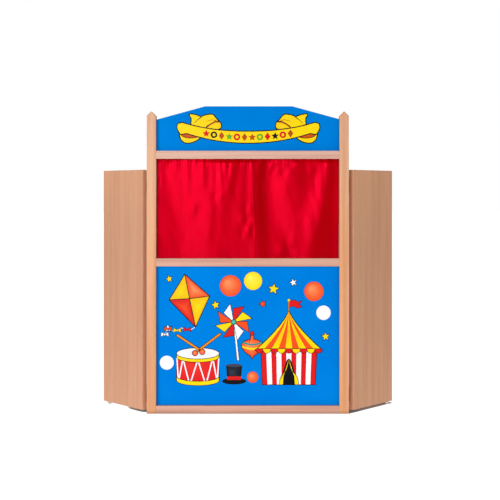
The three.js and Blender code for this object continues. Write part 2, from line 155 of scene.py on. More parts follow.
def beech(name, piece, across, light, dark, roughness, figure=1, arris=0.003, pith=(0.07, 0.05),
          coat=0.12, painted_top_light=(1, 1, 1)):
    """Lacquered beech on one piece: streaks, growth rings, fibres and short dark rays along the grain, with
    a painted highlight along the arrises and painted light that makes it paler towards the top.
    """
    low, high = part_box(piece)
    middle, half = (low + high) / 2, (high - low) / 2
    wood = Finish(name, Coat_Weight=coat, Coat_Roughness=0.32, Specular_IOR_Level=2 * coat, IOR=1.5)
    centred = wood.out("ShaderNodeMapping", {"Vector": wood.place, "Location": tuple(-middle)})
    turn = (0, -pi / 2, 0) if across else (0, 0, 0)
    start = (*pith, len(piece) * 0.37)
    grain = wood.out("ShaderNodeMapping", {"Vector": centred, "Rotation": turn, "Location": start})
    streak = wood.noise((38, 38, 1.3), 3, grain, Roughness=0.55)
    rings = wood.stretched(
        "ShaderNodeTexWave", (1, 1, 0.025),
        {"Scale": ring_spacing_scale, "Distortion": 3.2, "Detail": 2, "Detail Scale": 0.35}, grain, 1,
        wave_type="RINGS", rings_direction="Z", wave_profile="SAW",
    )
    fibre = wood.noise((1500, 1500, 22), 3, grain, Roughness=0.6)
    rays = wood.step(wood.cells((620, 620, 150), 1, grain), 0.26, 0.12)
    base = wood.tint(wood.step(streak, 0.36, 0.66), light, dark)
    base = wood.tint(wood.times(rings, 0.2 * figure), base, dark, "MULTIPLY")
    base = wood.tint(wood.step(fibre, 0.35, 0.7, 0, 0.16), base, dark, "MULTIPLY")
    base = wood.tint(wood.times(rays, 0.34 * figure), base, ray_brown)
    end_face = wood.sum("ABSOLUTE", wood.split(wood.places["Normal"])[0 if across else 2])
    base = wood.tint(wood.step(end_face, 0.75, 0.95, 0, 0.42), base, dark, "MULTIPLY")
    # Painted highlight: a lighter band along the rounded arrises.
    near = []
    for axis, reach in enumerate(wood.split(centred)):
        near.append(wood.step(wood.sum("ABSOLUTE", reach), half[axis] - arris, half[axis] - arris * 0.15))
    pairs = [wood.times(near[a], near[b]) for a, b in ((0, 1), (1, 2), (0, 2))]
    arris_highlight = wood.sum("MAXIMUM", wood.sum("MAXIMUM", pairs[0], pairs[1]), pairs[2])
    base = wood.tint(wood.times(arris_highlight, 0.3), base, tuple(min(1, v * 1.22) for v in light))
    # Painted light: the colour grows paler from 0.75 m up to 1.45 m high, as if lit from above.
    base = wood.tint(wood.step(wood.split(wood.place)[2], 0.75, 1.45), base, (*painted_top_light, 1), "MULTIPLY")
    relief = wood.sum("SUBTRACT", fibre, wood.times(rays, 0.5))
    return wood.wired(
        Base_Color=base, Roughness=wood.scaled(rays, 0.08, wood.scaled(fibre, 0.16, roughness - 0.08)),
        Normal=wood.bump(relief, 0.00012, 0.5),
    )


def dress(material, *pieces):
    """Gives CAD pieces their finish."""
    for piece in pieces:
        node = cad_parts[piece]
        for slot in node.material_slots:
            slot.material = material
        if not node.material_slots:
            node.data.materials.append(material)


lacquer, sides = 0.44, ("left", "right")
post_light, post_dark = colour(226, 166, 121), colour(212, 150, 105)
rail_light, rail_dark = colour(215, 166, 145), colour(199, 147, 126)
# Painted light: posts and rails are made paler towards the top.
for post, pith in (("left_post", (0.07, 0.05)), ("right_post", (-0.06, 0.055))):
    dress(beech(f"{post}_beech", post, False, post_light, post_dark, lacquer, 0.6, pith=pith,
                painted_top_light=(1, 1.15, 1.4)), post)
for rail, pith in (
    ("top_rail", (0.05, 0.06)), ("middle_rail", (0.065, -0.05)), ("bottom_rail", (-0.05, 0.07)),
):
    dress(beech(f"{rail}_beech", rail, True, rail_light, rail_dark, lacquer, 0.7, 0.0025, pith,
                painted_top_light=(1.08, 1.22, 1.28)), rail)

# Dowels: twelve fluted beech pegs glued into the rail ends and the posts, left raw.
dowels = [
    f"{level}_rail_{side}_dowel_{place}"
    for level in ("bottom", "middle", "top") for side in sides for place in ("lower", "upper")
]
dress(beech("raw_dowel_beech", dowels[0], True, colour(222, 184, 140), colour(190, 145, 100), 0.7), *dowels)

# Header board and front panel: 8 mm fibreboard, coated blue and printed on the face, blue on the sawn
# edges, with the brown board showing on the back. Both sit in the posts' grooves behind the rails.
board_face, board_back = 0.0103, 0.018


def blue_board(name, bright, deep):
    board = Finish(name, Specular_IOR_Level=0.2, Specular_Tint=(0, 0.4, 1, 1), IOR=1.5)
    bare = board.step(board.split(board.place)[1], board_back - 0.0004, board_back - 0.0002)
    cloud, peel = board.noise((3.2, 3.2, 2.6), 2), board.noise(420, 2)
    blue = board.tint(board.step(cloud, 0.3, 0.7), deep, bright)
    blue = board.tint(board.step(board.cells(1250, 0.25), 0.2, 0.6, 0, 0.08), blue, colour(0, 150, 236))
    chips, strands = board.noise(900, 4), board.noise((60, 60, 420), 4)
    brown = board.tint(board.step(chips, 0.35, 0.68), colour(150, 108, 70), colour(186, 146, 102))
    brown = board.tint(board.step(strands, 0.5, 0.75, 0, 0.35), brown, colour(122, 84, 52))
    smooth_side = board.bump(peel, 0.00006, 0.35)
    return board.wired(
        Base_Color=board.tint(bare, blue, brown),
        Roughness=board.scaled(bare, 0.4, board.scaled(peel, 0.12, 0.3)),
        Normal=board.bump(board.times(chips, bare), 0.00025, 0.6, smooth_side),
    )


dress(blue_board("header_blue", colour(0, 121, 209), colour(0, 114, 203)), "header_board")
dress(blue_board("panel_blue", colour(0, 123, 214), colour(0, 115, 208)), "front_panel")

# Screws in the backs of the boards: pan-head steel screws with a cross recess, every 140 mm along the
# laps, which hold the boards to the rails behind.
zinc_pale, zinc_grey = colour(206, 208, 214), colour(160, 163, 170)


def steel(name, pale, grey, roughness, along=(300, 300, 2200)):
    """Plated steel with drawing lines and a cloudy bloom."""
    plate = Finish(name, Metallic=1)
    cloud, lines = plate.noise(90, 4), plate.noise(along, 3, Roughness=0.6)
    shade = plate.tint(plate.step(cloud, 0.3, 0.7), pale, grey)
    shade = plate.tint(plate.step(lines, 0.4, 0.7, 0, 0.25), shade, grey, "MULTIPLY")
    return plate.wired(
        Base_Color=shade, Roughness=plate.scaled(cloud, 0.18, roughness - 0.09),
        Normal=plate.bump(lines, 0.00004, 0.4),
    )


def new_object(name, data):
    """An object that holds the data, linked to the scene."""
    made = bpy.data.objects.new(name, data)
    bpy.context.scene.collection.objects.link(made)
    return made


def settled(carrier, name):
    """The carrier's mesh with its modifiers applied, as an object of its own."""
    bpy.context.view_layer.update()
    mesh = bpy.data.meshes.new_from_object(carrier.evaluated_get(bpy.context.evaluated_depsgraph_get()))
    mesh.name = name
    bpy.data.objects.remove(carrier)
    return new_object(name, mesh)


class Maker(Nodes):
    """A Geometry Nodes tree with a named input for each size, which puts a small mesh on each point."""

    def __init__(self, name, sizes):
        super().__init__(bpy.data.node_groups.new(name, "GeometryNodeTree"))
        sockets = self.tree.interface
        sockets.new_socket(name="Geometry", in_out="INPUT", socket_type="NodeSocketGeometry")
        for label, value in sizes.items():
            made = sockets.new_socket(name=label, in_out="INPUT", socket_type="NodeSocketFloat")
            made.default_value = value
        sockets.new_socket(name="Geometry", in_out="OUTPUT", socket_type="NodeSocketGeometry")
        self.given = self.add("NodeGroupInput").outputs

    def moved(self, mesh, **feeds):
        return self.out("GeometryNodeTransform", {"Geometry": mesh, **feeds})

    def put(self, points, mesh, rotation):
        """Ends the tree: the mesh once on each point, made real and given its material."""
        feeds = {"Points": points, "Instance": mesh, "Rotation": rotation}
        copies = self.out("GeometryNodeInstanceOnPoints", feeds)
        real = self.out("GeometryNodeRealizeInstances", {0: copies})
        self.end = self.add("GeometryNodeSetMaterial", {"Geometry": real})
        self.add("NodeGroupOutput", {0: self.end.outputs[0]})

    def grown(self, name, material, points, facings=(), edges=(), sizes=()):
        """Runs the tree over the points, and gives the result as a plain mesh object."""
        seeds = bpy.data.meshes.new(f"{name}_points")
        seeds.from_pydata(points, edges, [])
        if facings:
            held = seeds.attributes.new("facing", "FLOAT_VECTOR", "POINT")
            held.data.foreach_set("vector", [v for facing in facings for v in facing])
        self.end.inputs["Material"].default_value = material
        carrier = new_object(f"{name}_carrier", seeds)
        modifier = carrier.modifiers.new("maker", "NODES")
        modifier.node_group = self.tree
        for item in self.tree.interface.items_tree:
            if item.in_out == "INPUT" and item.name in sizes:
                modifier[item.identifier] = sizes[item.name]
        return settled(carrier, name)


screw_sizes = {
    "Head radius": 0.004, "Neck radius": 0.002, "Head height": 0.002, "Shank length": 0.012,
    "Recess width": 0.0042, "Recess slot": 0.0011, "Recess depth": 0.0013,
}


def screw_maker(name, head_rise):
    """One cross-head screw at each point, its head facing along the point's own 'facing' direction."""
    screw = Maker(name, screw_sizes)
    size = screw.given
    head = screw.out("GeometryNodeMeshCone", {
        "Vertices": 20, "Radius Top": size["Head radius"], "Radius Bottom": size["Neck radius"],
        "Depth": size["Head height"],
    })
    drop = screw.times(size["Head height"], head_rise - 1)
    seated = screw.moved(head, Translation=screw.vector(z=drop))
    top = screw.vector(z=screw.times(size["Head height"], head_rise))
    recess = screw.add("GeometryNodeMeshBoolean", operation="UNION")
    deep = screw.times(size["Recess depth"], 2)
    for first, second in (("Recess width", "Recess slot"), ("Recess slot", "Recess width")):
        arm = screw.out("GeometryNodeMeshCube", {"Size": screw.vector(size[first], size[second], deep)})
        screw.tree.links.new(screw.moved(arm, Translation=top), recess.inputs[1])
    carved = screw.out("GeometryNodeMeshBoolean", {0: seated, 1: recess.outputs[0]}, operation="DIFFERENCE")
    shank = screw.out("GeometryNodeMeshCylinder", {
        "Vertices": 12, "Radius": size["Neck radius"], "Depth": size["Shank length"],
    })
    sunk = screw.moved(shank, Translation=screw.vector(z=screw.scaled(size["Shank length"], -0.5, drop)))
    whole = screw.add("GeometryNodeJoinGeometry")
    for part in (carved, sunk):
        screw.tree.links.new(part, whole.inputs[0])
    facing = screw.out("GeometryNodeInputNamedAttribute", {"Name": "facing"}, data_type="FLOAT_VECTOR")
    aimed = screw.out("FunctionNodeAlignRotationToVector", {"Vector": facing}, axis="Z")
    angle = screw.out("FunctionNodeRandomValue", {2: 0, 3: pi / 2, "Seed": 7}, 1, data_type="FLOAT")
    spin = screw.out("FunctionNodeAxisAngleToRotation", {"Axis": (0, 0, 1), "Angle": angle})
    turned = screw.out(
        "FunctionNodeRotateRotation", {"Rotation": aimed, "Rotate By": spin}, rotation_space="LOCAL"
    )
    screw.put(size["Geometry"], whole.outputs[0], turned)
    return screw


lap_heights, lap_columns, screw_gap = (0.03, 0.739, 1.2915), 7, 0.14
lap_places = [(-0.42 + screw_gap * k, board_back, z) for z in lap_heights for k in range(lap_columns)]
board_screws = screw_maker("pan_head_screws", 1).grown(
    "board_screws", steel("zinc_plated_screw", zinc_pale, zinc_grey, 0.34), lap_places,
    [(0, 1, 0)] * len(lap_places),
    sizes={"Head radius": 0.0034, "Neck radius": 0.0019, "Head height": 0.0016, "Recess width": 0.0036},
)
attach(board_screws, "front_frame")

# Hinges: four steel butt hinges, nickel plated, each with a pressed post leaf, a wing leaf and a pin,
# held by six countersunk cross-head screws set flush in the leaves.
nickel = steel("nickel_plate", colour(150, 140, 146), colour(108, 100, 108), 0.36, (260, 260, 2600))
dress(nickel, *[
    f"{side}_{level}_hinge_{part}"
    for side in sides for level in ("lower", "upper") for part in ("post_leaf", "wing_leaf", "pin")
])
pin_x, pin_y, plate_top = 0.5006, 0.0396, -0.00245
hinge_feet, hinge_screw_rise, hinge_screw_step = (0.053, 1.088), 0.012, 0.028
leaf_middle, leaf_stagger = (0.0047 + 0.032) / 2, 0.0025
swing = radians(47)


def leaf_screws(hand, angle, reach=1):
    """Each screw's place and direction on a side's leaves; reach is 1 on the wing's, -1 on the post's."""
    up_x, up_y = -hand * sin(angle), cos(angle)
    screws = []
    for foot in hinge_feet:
        for row in range(3):
            out = reach * (leaf_middle + (leaf_stagger if row % 2 else -leaf_stagger))
            x = hand * pin_x + hand * cos(angle) * out + up_x * plate_top
            y = pin_y + sin(angle) * out + up_y * plate_top
            screws.append(((x, y, foot + hinge_screw_rise + row * hinge_screw_step), (up_x, up_y, 0)))
    return screws


sunk_screws = screw_maker("countersunk_screws", 0)
for body, spots in (
    ("front_frame", leaf_screws(-1, 0, -1) + leaf_screws(1, 0, -1)),
    ("left_wing_body", leaf_screws(-1, swing)), ("right_wing_body", leaf_screws(1, swing)),
):
    screws = sunk_screws.grown(
        f"{body}_hinge_screws", nickel, *zip(*spots), sizes={
            "Head radius": 0.0036, "Head height": 0.0014, "Recess width": 0.0038, "Recess depth": 0.0011,
        },
    )
    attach(screws, body)

# Printed picture: silk-screen inks on the blue coating, laid in thin films, dark outline first and the
# colours over it. The colours are held in the films' own 'ink' attribute, so that balls can be shaded.
yellow, red, orange = colour(252, 214, 0), colour(216, 22, 24), colour(238, 78, 24)
white, dark, green = colour(240, 240, 246), colour(12, 14, 20), colour(96, 172, 40)
brown, teal, amber = colour(186, 74, 6), colour(16, 142, 136), colour(240, 140, 14)
gold, pale_orange = colour(240, 186, 0), colour(255, 150, 96)
film, film_sink, ring_shares = 0.00011, 0.00006, (0.3, 0.55, 0.75, 0.9)


def ink_finish():
    inks = Finish("screen_ink", Specular_IOR_Level=0.1, IOR=1.5)
    ink = inks.out("ShaderNodeAttribute", output="Color", attribute_name="ink")
    cover, mesh = inks.noise(26, 3), inks.cells(1400, 0.2)
    thin = inks.step(cover, 0.4, 0.75, 0, 0.08)
    laid = inks.tint(thin, ink, (0.4, 0.36, 0.3, 1), "MULTIPLY")
    laid = inks.tint(inks.step(mesh, 0.25, 0.6, 0, 0.1), laid, (0.82, 0.8, 0.78, 1), "MULTIPLY")
    return inks.wired(
        Base_Color=laid, Roughness=inks.scaled(cover, 0.14, 0.3), Normal=inks.bump(mesh, 0.00003, 0.3)
    )


screen_ink = ink_finish()


def turn_of(outline):
    """1 for an outline drawn anticlockwise, -1 for one drawn clockwise."""
    area = sum(a[0] * b[1] - b[0] * a[1] for a, b in zip(outline, outline[1:] + outline[:1]))
    return 1 if area > 0 else -1


def grown_out(outline, reach):
    """The outline moved outwards by reach."""
    hand = turn_of(outline)
    moved = []
    for k, here in enumerate(outline):
        before, after = outline[k - 1], outline[(k + 1) % len(outline)]
        first = Vector((here[0] - before[0], here[1] - before[1])).normalized()
        second = Vector((after[0] - here[0], after[1] - here[1])).normalized()
        normal = Vector((first.y + second.y, -first.x - second.x)) * hand
        if normal.length < 1e-6:
            normal = Vector((first.y, -first.x)) * hand
        normal.normalize()
        lean = max(0.45, normal.dot(Vector((first.y, -first.x)) * hand))
        moved.append((here[0] + normal.x * reach / lean, here[1] + normal.y * reach / lean))
    return moved


class Print:
    """One printed motif: closed flat films on the board, in millimetres from the motif's own origin."""

    def __init__(self, name, x=0, z=0):
        self.name, self.x, self.z = name, x, z
        self.points, self.faces, self.inks = [], [], []

    def dot(self, x, z, depth, ink):
        self.points.append(((self.x + x) / 1000, depth, (self.z + z) / 1000))
        self.inks.append(ink)

    def lay(self, outline, layer, ink, inner=None, middle=None):
        """A film in that layer. With inner, it shades from the outline's ink to inner at middle."""
        ring = outline[::turn_of(outline)]
        face, back = board_face - film * layer, board_face + film_sink
        start, count = len(self.points), len(ring)
        follow = [(k, (k + 1) % count) for k in range(count)]
        for depth in (face, back):
            for x, z in ring:
                self.dot(x, z, depth, ink)
        self.faces.append([start + count + k for k in range(count)][::-1])
        self.faces += [[start + m, start + k, start + count + k, start + count + m] for k, m in follow]
        if inner is None:
            self.faces.append([start + k for k in range(count)])
            return
        last = start
        cx, cz = middle or (sum(p[0] for p in ring) / count, sum(p[1] for p in ring) / count)
        for share in ring_shares:
            first = len(self.points)
            blended = tuple(a + (b - a) * share ** 1.3 for a, b in zip(ink, inner))
            for x, z in ring:
                self.dot(x + (cx - x) * share, z + (cz - z) * share, face, blended)
            self.faces += [[last + k, last + m, first + m, first + k] for k, m in follow]
            last = first
        self.dot(cx, cz, face, inner)
        self.faces += [[last + k, last + m, len(self.points) - 1] for k, m in follow]

    def inked(self, outline, layer, ink, line=4.2, inner=None, middle=None):
        """A film with a dark outline under it."""
        self.lay(grown_out(outline, line), layer, dark)
        self.lay(outline, layer + 1, ink, inner, middle)

    def finish(self):
        mesh = bpy.data.meshes.new(self.name)
        mesh.from_pydata(self.points, [], self.faces)
        held = mesh.color_attributes.new("ink", "FLOAT_COLOR", "POINT")
        held.data.foreach_set("color", [v for ink in self.inks for v in ink])
        mesh.materials.append(screen_ink)
        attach(new_object(self.name, mesh), "front_frame")


def disc(x, z, radius, facets=48, flat=1):
    turns = [2 * pi * k / facets for k in range(facets)]
    return [(x + radius * cos(a), z + flat * radius * sin(a)) for a in turns]


def star(x, z, radius, turn=0, points=5, waist=0.45):
    reaches = [radius, radius * waist] * points
    turns = [pi / 2 + turn + pi * k / points for k in range(2 * points)]
    return [(x + out * cos(a), z + out * sin(a)) for out, a in zip(reaches, turns)]


def smooth(points, closed=False, steps=6):
    """A rounded line through the points."""
    count = len(points)
    out = []
    for k in range(count if closed else count - 1):
        near = [k + d if closed else min(max(k + d, 0), count - 1) for d in (-1, 0, 1, 2)]
        for t in (s / steps for s in range(steps)):
            out.append(tuple(
                0.5 * (2 * b + (c - a) * t + (2 * a - 5 * b + 4 * c - d) * t * t
                       + (3 * b - a - 3 * c + d) * t ** 3)
                for a, b, c, d in zip(*[points[n % count] for n in near])
            ))
    return out if closed else out + [points[-1]]


def ribbon_of(line, width, narrower=0):
    """A strip along a line, which loses so much of its width by the line's end."""
    ahead, behind = [], []
    for k, (x, z) in enumerate(line):
        a, b = line[max(k - 1, 0)], line[min(k + 1, len(line) - 1)]
        along = Vector((b[0] - a[0], b[1] - a[1])).normalized()
        half = (width - narrower * k / (len(line) - 1)) / 2
        ahead.append((x - along.y * half, z + along.x * half))
        behind.append((x + along.y * half, z - along.x * half))
    return ahead + behind[::-1]


# Header ribbon: a printed yellow scroll with rolled ends and folded tails; a row of small stars, rounds
# and lozenges stands on it.
def upper_edge(x):
    return 1397 + 48 * (abs(x) / 344) ** 2.3


def lower_edge(x):
    return 1342 + 58 * (abs(x) / 335) ** 2.05


ribbon = Print("header_ribbon", 3)
tail_yellow, fold_yellow, inside_brown = colour(250, 206, 8), colour(246, 198, 6), colour(214, 96, 0)
for hand in (-1, 1):
    def there(*points):
        return [(hand * x, z) for x, z in points]

    tail = smooth(there((284, 1436), (282, 1462), (291, 1482), (262, 1479), (236, 1469))) + smooth(
        there((236, 1469), (208, 1479), (178, 1480), (158, 1458), (141, 1440), (142, 1414))
    ) + there((200, 1405), (260, 1420))
    ribbon.inked(tail, 1, yellow, 5.6, tail_yellow)
    ribbon.lay(ribbon_of(there((232, 1470), (252, 1456), (270, 1438)), 4.2, 2.2), 3, dark)
    fold = smooth(there((142, 1414), (138, 1436), (150, 1446), (172, 1441), (206, 1419), (190, 1404)), True)
    ribbon.inked(fold, 3, fold_yellow, 5, yellow)
    crease = there((146, 1444), (164, 1444), (186, 1434), (208, 1417))
    ribbon.lay(ribbon_of(crease, 4.6, 1.4), 5, brown)
    shade_line = there((160, 1452), (180, 1456), (200, 1451), (212, 1444))
    ribbon.lay(ribbon_of(shade_line, 4.4, 3.6), 3, brown)
    curl = there((337, 1394), (334, 1362), (316, 1345), (292, 1343), (264, 1352), (244, 1370), (280, 1396))
    ribbon.inked(smooth(curl, True), 1, yellow, 5.6, tail_yellow, (hand * 300, 1352))
    roll = there((333, 1380), (322, 1394), (284, 1396), (254, 1384), (250, 1372), (276, 1366), (310, 1368))
    ribbon.inked(smooth(roll, True), 3, brown, 2.4, inside_brown)
xs = [-352 + 704 * k / 60 for k in range(61)]
band_end = [(349, 1436), (353, 1418), (346, 1400), (337, 1386)]
band = [(x, upper_edge(x)) for x in xs[2:-2]] + band_end + [(x, lower_edge(x)) for x in xs[4:-4]][::-1]
ribbon.inked(band + [(-x, z) for x, z in band_end[::-1]], 5, yellow, 5.2)
for k, ink in enumerate((red, dark, brown, green, red, brown, brown, green, red, dark, red, brown)):
    x, form = -209 + 38 * k, ("star", "round", "lozenge")[k % 3]
    z = (upper_edge(x) + lower_edge(x)) / 2
    if form == "star":
        ribbon.lay(star(x, z - 1, 20), 7, ink)
    elif form == "round":
        ribbon.lay(disc(x, z, 16.5, 28), 7, ink)
        ribbon.lay(disc(x, z, 7.5, 20), 8, yellow)
    else:
        ribbon.lay([(x, z + 20), (x - 14, z), (x, z - 20), (x + 14, z)], 7, ink)
ribbon.finish()

# Lower picture: play balls, a tent, a drum, a kite, a windmill, a spinning top, a top hat and stars,
# printed in the same inks.
balls = Print("picture_balls")
orange_ball = (orange, pale_orange, colour(196, 50, 16))
yellow_ball = (yellow, colour(255, 240, 90), colour(214, 160, 0))
white_ball = (white, colour(255, 255, 255), colour(196, 200, 214))
for x, z, radius, (ink, light, rim) in (
    (-86, 632, 52, orange_ball), (26, 656, 44, yellow_ball), (328, 604, 47, orange_ball),
    (376, 498, 35, white_ball), (-402, 250, 34, white_ball), (24, 178, 27, orange_ball),
):
    balls.lay(disc(x, z, radius + 1.2), 1, rim)
    balls.lay(disc(x, z, radius), 2, ink, light, (x - radius * 0.3, z + radius * 0.34))
balls.finish()

tent = Print("picture_tent", 204, 142)
foot_half, eave_half, roof_half, eave, peak = 130, 138, 164, 176, (0, 366)
tent.inked([(-foot_half, 0), (foot_half, 0), (eave_half, eave), (-eave_half, eave)], 1, white, 3.6)
for k in range(0, 11, 2):
    stripe = [(half * (2 * (k + step) / 11 - 1), z) for half, z, step in (
        (foot_half, 0, 0), (foot_half, 0, 1), (eave_half, eave, 1), (eave_half, eave, 0))]
    tent.lay(stripe, 3, red)


def gore(start, end):
    """The roof from one ninth of the eave to another; its seams are hollowed as tent cloth hangs."""
    seams = []
    for ninth in (start, end):
        foot = roof_half * (2 * ninth / 9 - 1)
        seams.append([(foot * (1 - t / 10) ** 1.35, eave - 6 + 196 * t / 10) for t in range(10)])
    return seams[0] + [peak] + seams[1][::-1]


tent.inked(gore(0, 9), 4, yellow, inner=gold)
for k in range(1, 9, 2):
    tent.lay(gore(k, k + 1), 6, orange)
scallop_half = roof_half / 9
for k in range(9):
    middle = roof_half * (2 * k / 9 - 1) + scallop_half
    scallop = [(middle - scallop_half, eave), (middle + scallop_half, eave)] + [
        (middle + scallop_half * cos(pi * s / 10), eave - 20 * sin(pi * s / 10))
        for s in range(1, 10)
    ]
    tent.inked(scallop, 7, yellow if k % 2 else red, 2.8)
doorway = smooth([(34, 0), (24, 70), (0, 126), (-24, 70), (-34, 0)])[1:-1]
tent.inked([(-34, 0), (34, 0)] + doorway, 4, dark, 2.4)
for hand in (-1, 1):
    flap = smooth([(0, 126), (hand * 13, 74), (hand * 40, 36), (hand * 47, 0)])
    tent.inked(flap + [(hand * 30, 0), (hand * 27, 40)], 6, yellow, 2.6)
tent.inked([(-2, 362), (2, 362), (2, 414), (-2, 414)], 7, amber, 2.2)
flag = smooth([(3, 412), (26, 418), (46, 409), (64, 414)]) + [(50, 399)]
tent.inked(flag + smooth([(62, 385), (40, 381), (22, 389), (3, 384)]), 7, red, 2.8)
tent.inked(disc(0, 418, 6.5, 20), 9, yellow, 1.4)
tent.finish()

drum = Print("picture_drum", -248, 166)
drum_high, drum_half, drum_round = 126, 104, 24


def drum_point(angle, z, side=-1):
    return side * drum_half * cos(angle), z - drum_round * sin(angle)


def drum_side(low, high):
    turns = [pi * s / 24 for s in range(25)]
    return [drum_point(a, low) for a in turns] + [drum_point(a, high, 1) for a in turns]


drum.inked(drum_side(0, drum_high), 1, red, 4.6, colour(232, 50, 40), (-36, 74))
for k in range(8):
    ends = (8, drum_high - 16) if k % 2 else (drum_high - 16, 8)
    lace = [drum_point(pi * (k + share) / 8, z) for share, z in zip((0.1, 0.9), ends)]
    drum.lay(ribbon_of(lace, 6.5), 3, white)
for low in (-4, drum_high - 14):
    drum.inked(drum_side(low, low + 18), 4, yellow, 3)
drum.inked(disc(0, drum_high + 4, drum_half, 48, 0.25), 6, white, 3.4, colour(214, 218, 236))
for start, end in (((-104, 222), (22, 138)), ((112, 228), (-14, 132))):
    drum.inked(ribbon_of([start, end], 8.5), 8, amber, 2.8)
    drum.inked(disc(*end, 12.5, 24), 10, orange, 2.8, pale_orange)
drum.finish()

kite = Print("picture_kite", -284, 558)
kite_tips, kite_heart = [(-28, 128), (92, 22), (24, -128), (-104, 4)], (-5, 10)
kite.inked(kite_tips, 1, yellow, 4.6)
for k, (ink, light) in enumerate(((orange, pale_orange), (gold, yellow), (red, orange), (gold, yellow))):
    kite.lay([kite_tips[k], kite_tips[(k + 1) % 4], kite_heart], 3, ink, light)
for a, b in ((0, 2), (1, 3)):
    kite.lay(ribbon_of([kite_tips[a], kite_heart, kite_tips[b]], 4), 4, dark)
tail_line = smooth([(24, -130), (-6, -146), (-44, -136), (-78, -152), (-112, -140), (-128, -168)])
kite.lay(ribbon_of(tail_line, 3), 1, white)
for k, ink in ((8, red), (16, yellow), (24, orange), (30, white)):
    x, z = tail_line[k]
    for hand in (-1, 1):
        kite.inked([(x, z), (x + hand * 16, z + 11), (x + hand * 19, z - 9)], 2, ink, 2.4)
    kite.inked(disc(x, z, 4.6, 14), 4, ink, 2)
kite.finish()

windmill = Print("picture_windmill", -70, 452)
windmill.inked(ribbon_of([(2, 0), (22, -190)], 8), 1, white, 2.8)
for k in range(8):
    turn = pi / 4 * k + 0.2
    tip, side = ((out * cos(a), out * sin(a)) for out, a in ((90, turn), (66.6, turn + 0.62)))
    bulge = tuple(a * 0.45 + b * 0.55 for a, b in zip(tip, side))
    ink = (yellow, red, white, orange)[k % 4]
    windmill.inked([(0, 0)] + smooth([tip, bulge, side]), 3, ink, 3)
windmill.inked(disc(0, 0, 12, 24), 5, teal, 2.8, colour(110, 210, 200))
windmill.finish()

top = Print("picture_spinning_top", 22, 330)
top_half = [(0, -58), (9, -44), (34, -26), (52, 2), (46, 20), (22, 32), (7, 38), (6, 64)]
outline = smooth(top_half + [(-a, b) for a, b in top_half[:0:-1]], True)
top.inked(outline, 1, orange, inner=pale_orange, middle=(-16, 8))
for low, low_half, high, high_half, ink in ((-14, 48, -2, 51, yellow), (8, 51, 18, 47, teal)):
    under = smooth([(-low_half, low + 8), (0, low - 3), (low_half, low + 8)])
    top.lay(under + smooth([(high_half, high + 6), (0, high - 5), (-high_half, high + 6)]), 3, ink)
top.inked(disc(0, 66, 9, 20), 3, red, 2.8)
top.finish()

hat = Print("picture_top_hat", -68, 158)
hat.inked(disc(0, 0, 58, 40, 0.26), 1, dark, 1.2)
hat.lay([(-34, 6), (34, 6), (40, 78), (-40, 78)], 3, dark, colour(52, 56, 72), (-14, 44))
hat.lay([(-34, 6), (34, 6), (35.5, 24), (-35.5, 24)], 4, red)
hat.lay(disc(0, 78, 40, 40, 0.2), 5, colour(60, 64, 82))
hat.finish()

stars = Print("picture_stars")
for x, z, radius, turn, ink in (
    (-160, 536, 20, 0.2, yellow), (128, 616, 26, -0.15, yellow), (226, 648, 18, 0.3, white),
    (-396, 420, 18, 0.1, white), (74, 542, 17, 0.35, orange), (386, 380, 19, 0.1, yellow),
    (-390, 666, 16, 0.3, yellow),
):
    stars.inked(star(x, z, radius, turn), 1, ink, 3)
stars.finish()

# Curtain rod and its cups: a zinc-plated steel rod in two moulded nylon cups behind the top rail.
dress(steel("zinc_plated_rod", zinc_pale, zinc_grey, 0.3, (30, 2400, 2400)), "curtain_rod")


def nylon(name, pale, deep):
    moulded = Finish(name, IOR=1.53, Subsurface_Weight=0.1, Subsurface_Scale=0.002)
    flow, skin = moulded.noise((180, 180, 90), 3), moulded.noise(2600, 2)
    return moulded.wired(
        Base_Color=moulded.tint(moulded.step(flow, 0.3, 0.7), pale, deep),
        Roughness=moulded.scaled(skin, 0.2, 0.4), Normal=moulded.bump(skin, 0.00004, 0.4),
    )


pale_nylon = nylon("pale_nylon", colour(238, 236, 228), colour(222, 219, 208))
dress(pale_nylon, "left_rod_cup", "right_rod_cup")

# Curtains: two widths of red polyester satin, gathered on the rod by a stitched pocket and hanging in
# loose folds to a turned hem behind the middle rail. The folds spread from the gathers downwards.
rod_y, rod_z, cloth_thickness = 0.0265, 1.2705, 0.0005
pocket_line, hem_fold, hem_clear = 1.2595, 0.7537, 0.0015
sheet_step, sheet_rows, flat_row = 0.0027, 116, 60
nearest_y, furthest_y = 0.0118, 0.0345
neck_y, neck_drop, gather_fade = 0.0245, 0.018, 0.024
photo_middle, photo_foot, photo_scale = 247.5, 413.9, 0.004946
fold_heights = [(photo_foot - row) * photo_scale for row in (252, 232, 218, 204, 190, 178, 168, 160)]

